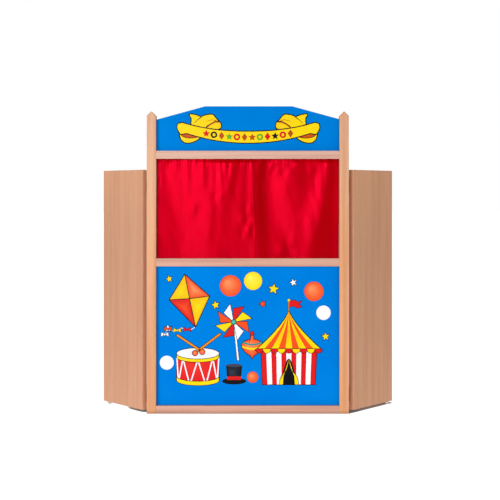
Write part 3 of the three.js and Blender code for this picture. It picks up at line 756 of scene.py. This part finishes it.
# Each fold line runs down the cloth, crest and trough in turn: where it lies across at eight heights from
# the gathers down, in the photograph's columns (one number where it hangs plumb), and how many
# millimetres it lies there behind the middle of the rails' thickness.
left_folds = [
    (155.8, (28.4, 28.4, 28.4, 27.8, 26.6, 25.4, 24.8, 24.2)),
    (160, (27.8, 27.8, 27.8, 27.4, 26.4, 25.4, 24.8, 24.2)),
    ((166, 166, 165.5, 168, 173.5, 180, 182, 180), (28.6, 29, 29.4, 29.6, 29.8, 29.8, 29.6, 28.6)),
    ((171, 171, 170.5, 173.5, 177.5, 184.5, 186.5, 185), (27.4, 27.2, 27, 27.8, 29, 29.2, 29, 28)),
    ((176, 176, 176.5, 179, 182, 188, 190, 190), (26.4, 26.6, 26.4, 26.8, 27.8, 27.8, 27.8, 26.9)),
    ((205, 205, 204, 204, 206, 207.5, 208, 208), (18.4, 18.4, 18.4, 19.2, 18.4, 19.4, 20.6, 22.4)),
    ((209, 209, 209, 210, 213, 215, 216, 214), (18.2, 18.1, 17.8, 17.4, 17, 18.6, 19.9, 22.1)),
    ((235, 234, 231.5, 228.5, 225, 222.5, 221, 218), (12, 12, 12, 12.2, 14.8, 18.2, 19.8, 22.1)),
    ((238.5, 237.5, 236, 233, 231, 230, 230, 230), (15, 15.5, 16, 16.2, 16.6, 19.2, 20.9, 22.6)),
    ((243, 243, 242.5, 242, 242, 242, 243, 244), (13.8, 14.4, 14.8, 14.8, 15.8, 18, 19, 20.8)),
    ((246.5, 246, 246, 246, 245.5, 245.5, 247, 247.5), (16, 16.6, 17, 16.6, 16.6, 18.2, 18.6, 20.4)),
    ((252, 252, 252.8, 253.1, 253.6, 254.4, 254.8, 255.2), (12.8, 13.2, 13.6, 13.6, 14, 15, 16, 17.4)),
    ((253.6, 253.6, 253.7, 253.9, 254.5, 255, 255.3, 255.6), (14, 14.4, 14.6, 14.6, 14.8, 15.6, 16.6, 18)),
]
right_folds = [
    (251.8, (17.6, 17.6, 17.6, 18, 18.4, 19.4, 20.4, 21.8)),
    ((260.5, 259, 257, 256.5, 256.5, 256.8, 257, 257.3), (16.6, 17, 18, 18.2, 18.4, 18.6, 19.2, 20)),
    ((264, 264, 263, 263.5, 264, 265, 267, 270), (28, 30.5, 32.5, 34, 34.2, 33.6, 31.2, 25.6)),
    ((266.8, 266.8, 268.5, 269.5, 270.2, 273, 277.5, 291), (28, 30.6, 33, 34.4, 34.6, 34, 31.6, 25.4)),
    ((287, 293, 289.5, 286, 290.5, 294, 298, 299.5), (18.8, 19.4, 21.6, 23.4, 23.4, 23.2, 22, 22.4)),
    ((318, 316, 313.5, 309, 304, 297.5, 300, 301), (18.4, 19.4, 21, 22.6, 23, 22, 21.2, 21.8)),
    ((329.3, 329.3, 328.4, 326, 323.5, 320.5, 315.5, 308.5),
     (11.8, 11.8, 11.8, 11.8, 11.8, 11.8, 12.6, 18.4)),
    ((333.6, 333.6, 333.4, 333.2, 333, 333, 333, 333), (18.4, 18.8, 19.4, 20.2, 21.4, 23, 24.8, 25.6)),
    (339.1, (18, 18.2, 18.8, 19.4, 20.4, 21.8, 23.6, 24.8)),
]

# Small creases and dents: where each lies, in the photograph's columns and rows, its half width and half
# height there, and by how many millimetres the cloth stands out at its right and falls in at its left, or,
# below nought, the other way round.
left_dents = [
    (218, 175, 2.4, 9, 1.5), (217.5, 196.5, 3.2, 3.6, 1.5), (223.5, 166, 2.3, 5, 1.2),
    (229.3, 167, 2, 6, 1.3), (226.8, 164.3, 1.6, 1.8, -0.9), (195.4, 210, 4.2, 6, -1.3),
    (213, 212, 3.2, 7, -0.5), (211.6, 232.5, 3.4, 6, -0.7), (244.2, 232.5, 3, 4.5, 1.4),
    (250.6, 230.5, 2.2, 5, -1.2), (247.4, 210, 2.4, 4, 0.9), (244.4, 219, 3, 4, -1.1),
    (158.6, 180, 2.4, 4, 0.8), (171.5, 167.5, 4, 3, 0.8), (189, 176, 2.8, 14, -0.7),
    (205.5, 174, 3.4, 9, -0.9), (165, 163, 3, 2.5, -0.7), (184, 163, 4, 3, 0.8), (160, 244, 5, 8, -0.6),
    (181, 200, 4, 12, -0.5),
]
right_dents = [
    (270.2, 163.5, 2.2, 3.5, 1.1), (275.5, 171, 2.8, 3, 1), (286, 173, 3, 2.8, 0.9),
    (293.6, 164.5, 3.4, 2.4, 1.1), (281.5, 162, 3, 2.2, -0.8), (303, 163.5, 3.5, 2.6, -0.9),
    (309, 169, 3, 3, 0.7), (326, 163.5, 1.8, 3, 0.9), (318, 184, 2.8, 9, 0.9), (306.6, 222, 3.6, 3.4, 0.9),
    (285.6, 250, 4.5, 4.5, -1.4), (290, 241, 3.2, 5, 0.9), (301, 194, 5, 8, -0.6),
    (262.5, 168, 1.8, 7, -0.6), (300, 180, 6, 5, -0.6),
]


def eased(t):
    t = min(max(t, 0), 1)
    return t * t * (3 - 2 * t)


def softened(grid, reach, axis):
    """The grid averaged over a bell of that reach in cells, with its border rows kept in place."""
    spread = np.exp(-0.5 * (np.arange(-3 * reach, 3 * reach + 1) / reach) ** 2)
    spread /= spread.sum()
    wide = np.pad(grid, [(3 * reach, 3 * reach) if a == axis else (0, 0) for a in (0, 1)], "reflect",
                  reflect_type="odd")
    return np.apply_along_axis(lambda line: np.convolve(line, spread, "valid"), axis, wide)


def rolling(xs, lines, depths):
    """Depths along one row: the cloth rolls over from each fold line to the next."""
    first = np.clip(np.searchsorted(lines, xs) - 1, 0, len(lines) - 2)
    t = np.clip((xs - lines[first]) / np.maximum(lines[first + 1] - lines[first], 1e-6), 0, 1)
    roll = 0.7 * t + 0.3 * (1 - np.cos(np.pi * t)) / 2
    return depths[first] + (depths[first + 1] - depths[first]) * roll


def dented(x, z, dents):
    """How far forward the creases and dents bring the cloth at one place."""
    forward = 0
    for column, row, wide, tall, depth in dents:
        u = (x - (column - photo_middle) * photo_scale) / (wide * photo_scale)
        w = (z - (photo_foot - row) * photo_scale) / (tall * photo_scale)
        if abs(u) < 3.5 and abs(w) < 3.5:
            forward += depth * u * exp(0.5 - 0.5 * u * u - 0.5 * w * w)
    return forward / 1000


pleat_step, fine_pleat_step, bunch_x, bunch_half = 0.041, 0.0173, 0.008, 0.05


def gather(x, seed):
    """How far a pleat of the pocket's gathers stands out at one place along the rod."""
    sway = noise.noise(Vector((x * 8, seed, 0))) * 0.02
    beat = cos(2 * pi * (x + sway) / pleat_step)
    fine = cos(2 * pi * (x - sway * 1.3) / fine_pleat_step + seed)
    swell = 0.22 + 0.7 * abs(noise.noise(Vector((x * 15, seed + 4, 0))))
    swell += 0.7 * exp(-((x - bunch_x) / bunch_half) ** 2)
    return (0.0017 * beat + 0.0009 * fine) * swell


def crumple(x, z, seed):
    """Soft dents that lean across the folds, as thin satin has."""
    lean = x + (z - 1) * 0.25
    broad = noise.noise(Vector((lean * 15, z * 6, seed)))
    small = noise.noise(Vector((lean * 42, z * 15, seed + 9)))
    return 0.0008 * broad + 0.0003 * small


def hanging_cloth(folds, dents, seed):
    """The grid of points of the hanging part: rows from the hem's fold up to the pocket's stitch line."""
    heights = np.linspace(hem_fold + hem_clear, pocket_line, sheet_rows)

    def down(values):
        return np.interp(heights, fold_heights, np.broadcast_to(np.array(values, float), 8)[::-1])

    across = (np.array([down(fold[0]) for fold in folds]) - photo_middle) * photo_scale
    depths = np.array([down(fold[1]) for fold in folds]) / 1000
    span = across[-1] - across[0]
    columns = round(span.max() / sheet_step)
    xs = across[0][:, None] + span[:, None] * np.linspace(0, 1, columns + 1)
    ys = np.array([rolling(xs[r], across[:, r], depths[:, r]) for r in range(sheet_rows)])
    xs = softened(xs, 3, 0)
    ys = softened(softened(ys, 5, 0), 4, 1)
    for r, z in enumerate(heights):
        drop = pocket_line - z
        neck = eased(1 - drop / neck_drop) * 0.5
        for c in range(columns + 1):
            x = xs[r][c]
            y = ys[r][c] + (neck_y - ys[r][c]) * neck
            y += gather(x, seed) * exp(-drop / gather_fade) + crumple(x, z, seed) - dented(x, z, dents)
            ys[r][c] = min(max(y, nearest_y), furthest_y)
    return xs, ys, heights


# The turned hem's heights over its fold and how far back it lies there; the pocket's turns and sizes round
# the rod; how far the rows of stitches lie off the cloth's middle at its front and its back.
hem_turn = ((0.0145, 0.0012), (0.006, 0.0013), (0.0012, 0.0011), (0, 0.0006))
pocket_turns, pocket_radius, pocket_limits = range(-48, 231, 18), 0.0078, (0.0062, 0.0098)
front_stitch, back_stitch, stitch_edge_drop = -0.00045, 0.0005, -0.0016


def sewn_curtain(side, folds, dents, seed):
    """One curtain's cloth: rows run from the turned hem up to the pocket and round the rod."""
    xs, ys, heights = hanging_cloth(folds, dents, seed)
    columns = xs.shape[1] - 1
    rows = []
    for rise, back in hem_turn:
        z = hem_fold + rise
        like = np.abs(heights - z).argmin()
        rows.append([(x, y + back, z) for x, y in zip(xs[like], ys[like])])
    for r, z in enumerate(heights):
        rows.append([(x, y, z) for x, y in zip(xs[r], ys[r])])
    for turn in pocket_turns:
        angle, row = radians(turn), []
        for x in xs[-1]:
            puff = pocket_radius - gather(x, seed) * (1 if turn < 90 else -0.6)
            radius = min(max(puff, pocket_limits[0]), pocket_limits[1])
            row.append((x, rod_y - radius * cos(angle), rod_z + radius * sin(angle)))
        rows.append(row)
    for back, z in ((0.0014, pocket_line), (0.0017, pocket_line - 0.0075)):
        rows.append([(x, y + back, z) for x, y in zip(xs[-1], ys[-1])])

    def run(points):
        lengths = [0]
        for a, b in zip(points, points[1:]):
            lengths.append(lengths[-1] + (Vector(b) - Vector(a)).length)
        return lengths

    ups, across = run([row[columns // 2] for row in rows]), run(rows[flat_row])
    mesh = bmesh.new()
    layer = mesh.loops.layers.uv.new("cloth")
    grid = [[mesh.verts.new(point) for point in row] for row in rows]
    for r in range(len(rows) - 1):
        for c in range(columns):
            corners = ((c, r), (c + 1, r), (c + 1, r + 1), (c, r + 1))
            face = mesh.faces.new([grid[v][u] for u, v in corners])
            face.smooth = True
            for loop, (u, v) in zip(face.loops, corners):
                loop[layer].uv = (across[u], ups[v])
    cloth = bpy.data.meshes.new(f"{side}_curtain_sheet")
    mesh.to_mesh(cloth)
    mesh.free()
    carrier = new_object(f"{side}_curtain_sheet", cloth)
    wall = carrier.modifiers.new("cloth_wall", "SOLIDIFY")
    wall.thickness, wall.offset, wall.use_even_offset = cloth_thickness, 0, False
    first = len(hem_turn)
    seams = []
    for row, back, lift in (
        (first + 3, front_stitch, 0), (0, back_stitch, stitch_edge_drop),
        (first + sheet_rows - 1, front_stitch, 0), (len(rows) - 2, back_stitch, 0),
    ):
        seams.append([(x, y + back, z + lift) for x, y, z in rows[row][2:-2]])
    return settled(carrier, f"{side}_curtain_cloth"), seams, (across[-1], ups[-1])


def satin():
    cloth = Finish(
        "red_satin", Anisotropic=0.2, Specular_IOR_Level=1, Specular_Tint=(1, 0, 0.045, 1), IOR=1.7,
        Coat_Weight=0.004, Coat_Roughness=0.12,
    )
    weave = cloth.out("ShaderNodeUVMap", uv_map="cloth")
    floats = cloth.noise((2600, 420, 1), 2, weave)
    slubs = cloth.noise((70, 900, 1), 3, weave)
    cloud = cloth.noise((9, 9, 5), 3)
    red = cloth.tint(cloth.step(cloud, 0.3, 0.7), colour(163, 0, 0), colour(172, 0, 0))
    return cloth.wired(
        Base_Color=cloth.tint(cloth.step(slubs, 0.5, 0.8, 0, 0.25), red, colour(144, 0, 0)),
        Roughness=cloth.scaled(slubs, 0.08, 0.34),
        Tangent=cloth.out("ShaderNodeTangent", direction_type="UV_MAP", uv_map="cloth"),
        Normal=cloth.bump(slubs, 0.00005, 0.25, cloth.bump(floats, 0.00003, 0.35)),
    )


def thread():
    spun = Finish("red_thread", Roughness=0.6, Sheen_Weight=0.3)
    twist = spun.step(spun.noise(3000, 2), 0.35, 0.65)
    return spun.wired(Base_Color=spun.tint(twist, colour(150, 4, 14), colour(196, 12, 26)))


red_satin, red_thread = satin(), thread()
stitch = Maker("lock_stitches", {"Stitch length": 0.0026, "Stitch pitch": 0.0033, "Thread radius": 0.00022})
size = stitch.given
seam = stitch.out("GeometryNodeMeshToCurve", {"Mesh": size["Geometry"]})
pitch = {"Curve": seam, "Length": size["Stitch pitch"]}
spaced = stitch.out("GeometryNodeResampleCurve", pitch, mode="LENGTH")
bead = stitch.out("GeometryNodeMeshUVSphere", {"Segments": 6, "Rings": 5, "Radius": 1})
form = stitch.vector(size["Thread radius"], size["Thread radius"], stitch.times(size["Stitch length"], 0.5))
heading = stitch.out("GeometryNodeInputTangent")
aimed = stitch.out("FunctionNodeAlignRotationToVector", {"Vector": heading}, axis="Z")
stitch.put(spaced, stitch.moved(bead, Scale=form), aimed)

for side, folds, dents, seed, lead, far_post, travel in (
    ("left", left_folds, left_dents, 2.3, 0.0335, -0.4525, -0.33),
    ("right", right_folds, right_dents, 6.1, 0.0315, 0.4525, 0.29),
):
    cloth, runs, flat = sewn_curtain(side, folds, dents, seed)
    cloth.data.materials.clear()
    cloth.data.materials.append(red_satin)
    points, edges = [], []
    for run in runs:
        edges += [(len(points) + k, len(points) + k + 1) for k in range(len(run) - 1)]
        points += run
    stitches = stitch.grown(f"{side}_curtain_stitches", red_thread, points, edges=edges)
    body, joint = f"{side}_curtain_body", f"{side}_curtain_slide"
    for piece in (cloth, stitches):
        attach(piece, body)
        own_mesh(piece)
    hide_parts(f"{side}_curtain")

# Wings: 28 mm boards veneered with beech, the grain upright, finished with a matt lacquer.
wing_light, wing_dark = colour(218, 166, 134), colour(209, 157, 126)
# Painted light: the wings are made paler towards the top.
for wing, pith in (("left_wing", (0.5, 0.31)), ("right_wing", (-0.42, 0.36))):
    dress(beech(f"{wing}_veneer", wing, False, wing_light, wing_dark, 0.6, 0.35, pith=pith, coat=0.02,
                painted_top_light=(1.16, 1.14, 1.08)), wing)

# Glides: a white moulded nylon foot nailed under the free end of each wing.
dress(pale_nylon, "left_wing_glide", "right_wing_glide")

# Studio: a white floor that glows, with painted shade where the stand shelters it, a painted shadow behind
# the right wing's resting place and painted light under the left wing's free end; soft lights in front and
# at the right side, two that only the gloss shows, and an even white surround.
floor_mesh = bpy.data.meshes.new("studio_floor")
floor_mesh.from_pydata([(-30, -14, 0), (30, -14, 0), (30, 60, 0), (-30, 60, 0)], [], [(0, 1, 2, 3)])
floor = new_object("studio_floor", floor_mesh)
floor.visible_diffuse = floor.visible_glossy = False
paint = Finish("studio_floor_paint", Roughness=0.9, Emission_Strength=1)
# Painted shade: the floor's glow is dimmed where an occlusion test, aimed towards the main light, meets the
# stand.
main_light_way, right_wing_back = paint.vector(-0.42, -0.82, 0.38), (-0.731, 0.682, 0)
shelter = {"Distance": 0.12, "Normal": main_light_way}
shade = paint.sum("SUBTRACT", 1, paint.out("ShaderNodeAmbientOcclusion", shelter, "AO", samples=16))
across = paint.split(paint.place)["X"]
behind = paint.out(
    "ShaderNodeVectorMath", {0: paint.place, 1: right_wing_back}, "Value", operation="DOT_PRODUCT"
)
# Painted shadow: in a band fixed behind the right wing's resting place, the painted shade is nearly
# doubled.
right_wing_shadow_band = paint.times(paint.step(across, 0.49, 0.51), paint.step(across, 0.68, 0.735, 1, 0))
painted_shadow_gain = paint.scaled(paint.step(behind, -0.373, -0.361), right_wing_shadow_band, 1)
open_floor = paint.sum("SUBTRACT", 1, paint.times(shade, painted_shadow_gain))
# Painted light: fixed to the left wing's place, the floor from under its free end outwards is lightened.
open_floor = paint.sum("ADD", open_floor, paint.step(across, -0.63, -0.585, 0.3, 0))
lit = paint.step(open_floor, 0.66, 0.775, 0.02, 1)
dust = paint.noise(3, 3)
floor_mesh.materials.append(paint.wired(
    Emission_Color=paint.out("ShaderNodeCombineColor", {0: lit, 1: lit, 2: lit}),
    Base_Color=paint.tint(dust, (0.42, 0.42, 0.42, 1), (0.46, 0.46, 0.46, 1)),
))

for name, place, target, size, power, on_matt, in_gloss in (
    ("main_soft_box", (-4.7, -7.2, 1.9), (0, 0, 0.85), (5, 3.4), 500, True, True),
    ("fill_soft_box", (3.4, -7.6, 1.6), (0, 0, 0.8), (3, 3), 185, True, False),
    ("sheen_soft_box", (-1.7, -8.2, 1.4), (0, 0, 1), (1.4, 3), 155, False, True),
    ("glint_soft_box", (-4.1, -7.4, 1.7), (-0.1, 0, 1.15), (0.5, 0.9), 48, False, True),
    ("side_soft_box", (5.6, -3.2, 1.3), (0.6, 0.1, 0.65), (2.4, 2.4), 45, True, False),
    ("floor_bounce", (0, -1.25, 0.012), (0, -1.25, 1), (4.4, 3.3), 27, True, False),
):
    data = bpy.data.lights.new(name, "AREA")
    data.shape, data.size, data.size_y, data.energy = "RECTANGLE", *size, power
    light = new_object(name, data)
    light.location = place
    light.rotation_euler = (Vector(target) - Vector(place)).to_track_quat("-Z", "Y").to_euler()
    light.visible_camera, light.visible_diffuse, light.visible_glossy = False, on_matt, in_gloss
world = bpy.data.worlds.new("studio_surround")
world.use_nodes = True
surround = Nodes(world.node_tree)
surround.tree.nodes.clear()
seen = surround.out("ShaderNodeLightPath", output="Is Camera Ray")
strength = surround.out("ShaderNodeMapRange", {"Value": seen, "To Min": 0.16, "To Max": 1})
even = surround.out("ShaderNodeBackground", {"Color": (1, 1, 1, 1), "Strength": strength})
surround.add("ShaderNodeOutputWorld", {"Surface": even})
bpy.context.scene.world = world
bpy.context.scene.view_settings.view_transform = "Standard"

# Camera: level, a little above the middle of the stage opening, straight in front.
camera = new_object("studio_camera", bpy.data.cameras.new("studio_camera"))
camera.data.lens, camera.data.sensor_width, camera.data.shift_y = 75.7, 36, -0.111
camera.location = (0.011, -5.21, 1.085)
camera.rotation_euler = (pi / 2, 0, 0)
bpy.context.scene.camera = camera

bpy.context.view_layer.update()
